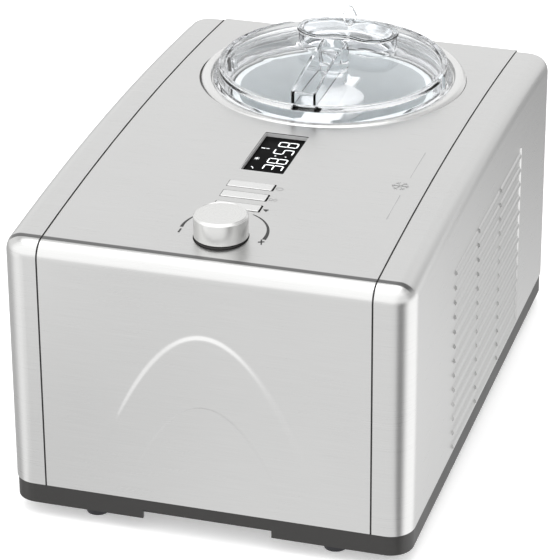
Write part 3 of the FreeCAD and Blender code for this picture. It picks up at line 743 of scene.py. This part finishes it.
figures = []
for symbol, y in (("3", -64.2), ("8", -53.2), ("5", -37.6), ("8", -25.4)):
    figures += digit(symbol, y)
for x in (6.6, -0.9):
    figures.append(np.array([(x - 0.45, -41.9), (x + 0.45, -41.9), (x + 0.45, -41.0), (x - 0.45, -41.0)]))
marks("displayFigures", figures, digitLight, 0.05, lensTop)
signs = [arcBand((-12.6, -65), 2.4, -20, 80, 0.25, 0.7, 10), strip((-13.8, -50), (-10.4, -47.4), 0.3),
         strip((-13.8, -47.4), (-10.4, -50), 0.3), strip((-12.1, -50.8), (-12.1, -46.6), 0.3),
         strip((-14.2, -31), (-11.4, -31), 0.9), strip((-10.6, -31), (-8.2, -31), 0.6)]
marks("displaySigns", signs, digitLight, 0.05, lensTop)
print("stage: display")

# clear lid

lidClear = finishes["clear_plastic"]
lid = {"under": 222, "over": 224.5, "wall": 81.2, "foot": 208.6, "flange": 88.5, "flangeLow": 214.4,
       "rim": 84.6, "rimTop": 228.0}
profile = rounded([(0, lid["under"], 0), (lid["wall"], lid["under"], 0.6), (81.5, lid["foot"], 0.5),
                   (84, lid["foot"], 0.6), (84, lid["flangeLow"], 0.4),
                   (lid["flange"], lid["flangeLow"], 0.8), (lid["flange"], 217.0, 1.2),
                   (85.8, 218.4, 1.0), (lid["rim"], 227.2, 1.2), (82.8, lid["rimTop"], 0.8),
                   (80.4, 227, 1.0), (79.6, lid["over"], 1.2),
                   (0, lid["over"], 0)], 0.5, False)
lidBody = lathe("clearLid", profile, wellAt, lidClear, "lid", ("lid",), 160, False, 30)
chute = {"middle": 45.0, "spread": 25.7, "top": 234.5, "lidY": 104}


def kidneyOutline(half):
    # bean behind the lid's centre: two arcs round that centre, joined by half circles
    def outline(inset):
        reach = half - inset
        spread = math.radians(chute["spread"])
        out = np.linspace(-spread, spread, 40)
        back = out[::-1]
        bend = np.linspace(0, math.pi, 20)[1:-1]
        far = chute["middle"] + reach
        near = chute["middle"] - reach
        outer = np.column_stack([far * np.sin(out), chute["lidY"] + far * np.cos(out)])
        inner = np.column_stack([near * np.sin(back), chute["lidY"] + near * np.cos(back)])
        ends = []
        for side in (1, -1):
            radial = np.array([math.sin(side * spread), math.cos(spread)])
            centre = np.array([0, chute["lidY"]]) + chute["middle"] * radial
            across = side * np.array([math.cos(spread), -side * math.sin(spread)])
            turn = bend if side > 0 else math.pi - bend
            ends.append(centre + reach * (np.cos(turn)[:, None] * radial + np.sin(turn)[:, None] * across))
        return np.vstack([outer, ends[0], inner, ends[1]])
    return outline


# handle: a channel bar with a flat top over two side ribs, rising towards the middle of the lid
sidePath = rounded([(25.0, 223.0, 0), (25.0, 235.5, 2.0), (60, 240.4, 40), (95, 243.0, 30), (112, 243.0, 6),
                    (114.5, 223.0, 0)], 0, False, 10)
middle = np.array([70.0, 226.0])
slices = []
for x, inset in ((-9.25, 0.5), (-8.75, 0.0), (8.75, 0.0), (9.25, 0.5)):
    line = sidePath + (middle - sidePath) * inset * 0.02
    slices.append(np.column_stack([np.full(len(line), x), line]))
bar = stack("handleBar", slices, lidClear)
hollow = rounded([(27.2, 224.6, 0), (27.2, 233.2, 1.5), (60, 238.2, 40), (92, 240.5, 2), (92, 224.6, 0)],
                 0, False, 8)
slices = [np.column_stack([np.full(len(hollow), x), hollow]) for x in (-7.0, 7.0)]
barHollow = stack("barHollow", slices, lidClear)
merge(bar, [barHollow], "DIFFERENCE")
profile = rounded([(0, 209, 0), (10.6, 209, 1.0), (11.5, 224, 1.0), (11.5, 240, 2.0), (0, 240, 0)], 1, False)
boss = lathe("boss", profile, wellAt, lidClear, closed=False)
collarWall = slab("chuteWall", kidneyOutline(18.0), 221.8, chute["top"], 0.5, lidClear)
lugs = []
for side in (-1, 1):
    x0, x1 = sorted((side * 82.5, side * 85.6))
    lugs.append(slab("lug", roundRect(x0, x1, 98, 110, 1.0), 209, 212, 0.4, lidClear))
    x0, x1 = sorted((side * 76.5, side * 82.0))
    lugs.append(slab("web", roundRect(x0, x1, 99, 109, 1.0), 210, 222.6, 0.4, lidClear))
merge(lidBody, [bar, boss, collarWall] + lugs)
chuteCut = slab("chuteCut", kidneyOutline(16.4), 200, 240, 0.01, lidClear)
stemCut = rod("stemCut", 8.5, 200, 219, wellAt, lidClear)
merge(lidBody, [chuteCut, stemCut], "DIFFERENCE")

top = chute["top"]
cap = slab("pourCap", kidneyOutline(19.2), top + 0.3, top + 2.1, 0.7, lidClear, "fill_cap", ("fill_cap",))
rim = slab("capRim", kidneyOutline(17.4), top + 1.5, top + 2.7, 0.5, lidClear)
plug = slab("capPlug", kidneyOutline(16.0), 227, top + 0.8, 0.5, lidClear)
plugCut = slab("plugCut", kidneyOutline(14.2), 226, top + 0.6, 0.01, lidClear)
merge(plug, [plugCut], "DIFFERENCE")
finOutline = rounded([(-3.0, top + 2), (3.0, top + 2), (5.6, 246.5), (0.0, 257.0), (-5.6, 246.5)], 5.0,
                     True, 12)
finRings = []
for y, inset in ((148.4, 0.9), (148.9, 0.2), (150.0, 0.0), (151.1, 0.2), (151.6, 0.9)):
    line = finOutline + (np.array([0, 244.0]) - finOutline) * inset * 0.1
    finRings.append(np.column_stack([line[:, 0], np.full(len(line), y), line[:, 1]]))
fin = stack("capFin", finRings, lidClear)
nub = slab("capNub", roundRect(-1.5, 1.5, 150.5, 158, 0.7), top + 2, 240, 0.9, lidClear)
merge(cap, [rim, plug, fin, nub])
for piece in (lidBody, cap):
    piece.visible_shadow = False
print("stage: lid and cap")

# paddle

white = finishes["paddle_plastic"]
profile = rounded([(12.1, 73, 0.5), (15.5, 73, 1.0), (14.5, 150, 20), (17.0, 182, 8), (24, 188, 3),
                   (24, 193, 3), (19, 198, 8), (11, 203.5, 5), (8.0, 207, 4), (8.0, 217, 2.0),
                   (0, 217, 0)], 1, False, 8)
profile = np.vstack([[(0, 126)], [(6.5, 126)], [(6.5, 113.5)], [(12.1, 113.5)], profile])
hub = lathe("paddleBody", profile, wellAt, white, "paddle", ("paddle",), 96, False)


def turnedPlate(name, half, y0, y1, z0, z1, angle, pivotY):
    # rounded plate turned about an upright line on the centre plane
    def place(rings):
        c = math.cos(math.radians(angle))
        s = math.sin(math.radians(angle))
        pivot = np.array([0, pivotY])
        offset = rings[..., :2] - pivot
        x = offset[..., 0]
        y = offset[..., 1]
        turned = np.stack([c * x - s * y, s * x + c * y], -1)
        return np.concatenate([turned + pivot, rings[..., 2:]], -1)
    return slab(name, roundRect(-half, half, y0, y1, 1.4), z0, z1, 1.2, white, place=place)


# name, half width, near and far y, low and high z, turn in degrees, y of the turning line
plateRows = (
    ("outerBlade", 3, 36, 46, 78.5, 196, 32, 41),
    ("outerArm", 14.5, 38, 87, 190, 195, 0, 0),
    ("outerFoot", 6, 40, 91, 74.5, 80, 0, 0),
    ("innerBlade", 3, 140, 150, 76, 196, 32, 145),
    ("innerArm", 10, 121, 148, 190, 195, 0, 0),
    ("innerFoot", 6, 117.5, 148, 74.5, 80, 0, 0),
)
plates = [turnedPlate(*row) for row in plateRows]
merge(hub, plates)
print("stage: paddle")

# floor, lights, camera

studio = {"floor": 0.9, "floorLift": 0.3, "floorWide": 7.0, "sky": 1.08, "overhead": 0.7, "ahead": 0.5,
          "rearBand": 0.6, "right": 0.45}
carpetLook = {"base": 1.03, "brightest": 2.0, "cornerX": 0.144, "cornerY": -0.214,
              "dark": 0.75, "glow": 0.5, "leftGlow": 0.35, "leftDark": 0.4, "lowLeft": 0.12,
              "rearStart": 0.14, "rearFade": 0.45}


def stagePlane(name, corners, material, camera=True):
    # flat backdrop; one the camera doesn't see is only there to be mirrored
    mesh = bpy.data.meshes.new(name)
    mesh.from_pydata(corners, [], [tuple(range(len(corners)))])
    plane = bpy.data.objects.new(name, mesh)
    bpy.context.scene.collection.objects.link(plane)
    mesh.materials.append(material)
    plane.visible_camera = camera
    if not camera:
        plane.visible_diffuse = False
        plane.visible_shadow = False
        plane.visible_transmission = False
    return plane


wide = studio["floorWide"]
floor = stagePlane("studioFloor", [(-wide, -4, 0), (wide, -4, 0), (wide, 10, 0), (-wide, 10, 0)],
                   plastic("paleFloor", (studio["floor"],) * 3, 0.8, 0.02, 0.01,
                           Emission_Color=(1, 1, 1, 1), Emission_Strength=studio["floorLift"]))
floor.visible_glossy = False


def carpetPaint(at):
    # what polished upright faces mirror: pale floor, with bands by the angle round each front corner
    x = at.part(0)
    y = at.part(1)
    look = carpetLook
    ahead = y - look["cornerY"]
    rightTurn = ahead.maths("ARCTAN2", ahead, x - look["cornerX"])
    leftTurn = ahead.maths("ARCTAN2", ahead, -look["cornerX"] - x)
    dark = rightTurn.band((-1.25, -0.8), (-0.6, -0.2)) * look["dark"]
    glow = rightTurn.band((-0.3, 0.05), (0.8, 1.25)) * look["glow"]
    leftGlow = leftTurn.band((-1.2, -0.8), (-0.5, -0.1)) * look["leftGlow"]
    leftDark = leftTurn.band((-0.2, 0.2), (1.3, 1.5)) * look["leftDark"]
    lowLeft = (1 - x.step(-0.2, 0.05)) * y.band((-0.55, -0.35), (-0.214, -0.2)) * look["lowLeft"]
    fade = look["rearStart"] + y.step(0.0, 0.8) * look["rearFade"]
    rearward = rightTurn.band((0.9, 1.25), (1.6, 2.0)) * fade
    shade = look["base"] + glow + leftGlow - dark - leftDark - lowLeft - rearward
    return {"Emission Color": (shade / look["brightest"]).blend((0, 0, 0), (1, 1, 1))}


carpet = newMaterial("carpetLight", carpetPaint, Emission_Strength=carpetLook["brightest"], Roughness=1.0,
                     Base_Color=(0, 0, 0, 1), Specular_IOR_Level=0.0)
above = 0.0005
stagePlane("studioCarpet", [(-3, -3, above), (3, -3, above), (3, 4, above), (-3, 4, above)], carpet, False)

world = bpy.data.worlds.new("studio")
bpy.context.scene.world = world
world.use_nodes = True
sky = world.node_tree


def skyLight():
    # soft white room by direction: brighter overhead and ahead, a darker band high at the rear,
    # and a darker flag low on the right
    coords = sky.nodes.new("ShaderNodeTexCoord")
    way = Field(sky, coords.outputs["Generated"])
    x = way.part(0)
    y = way.part(1)
    z = way.part(2)
    ahead = (1 - y.step(-0.3, 0.05)) * z.step(-0.05, 0.1)
    rear = y.step(0.0, 0.15) * z.band((0.68, 0.74), (0.84, 0.92))
    right = x.step(0.3, 0.7) * z.band((0.0, 0.1), (0.5, 0.8))
    overhead = z.step(0.86, 0.95)
    value = (studio["sky"] + overhead * studio["overhead"] + ahead * studio["ahead"]
             - rear * studio["rearBand"] - right * studio["right"])
    background = sky.nodes["Background"]
    sky.links.new(value.socket, background.inputs["Strength"])
    background.inputs["Color"].default_value = (1, 1, 1, 1)


skyLight()


def softLight(name, place, target, width, height, power):
    light = bpy.data.lights.new(name, "AREA")
    light.shape = "RECTANGLE"
    light.size = width
    light.size_y = height
    light.energy = power
    lamp = bpy.data.objects.new(name, light)
    lamp.location = place
    lamp.rotation_euler = (Vector(target) - Vector(place)).to_track_quat("-Z", "Y").to_euler()
    bpy.context.scene.collection.objects.link(lamp)


softLight("topBox", (-0.3, 0.2, 2.4), (0, 0, 0.1), 1.8, 1.8, 12)

view = {"place": (0.5766, -1.9446, 1.1377), "target": (-0.0378, 0.0902, 0.0474), "lens": 201.07,
        "roll": -0.36}
eye = bpy.data.cameras.new("mainCamera")
eye.lens = view["lens"]
eye.sensor_width = 36
camera = bpy.data.objects.new("mainCamera", eye)
camera.location = view["place"]
aim = (Vector(view["target"]) - Vector(view["place"])).to_track_quat("-Z", "Y").to_matrix()
camera.rotation_euler = (aim @ Matrix.Rotation(math.radians(view["roll"]), 3, "Z")).to_euler()
bpy.context.scene.collection.objects.link(camera)
bpy.context.scene.camera = camera
bpy.context.scene.view_settings.view_transform = "Standard"
print("stage: studio")
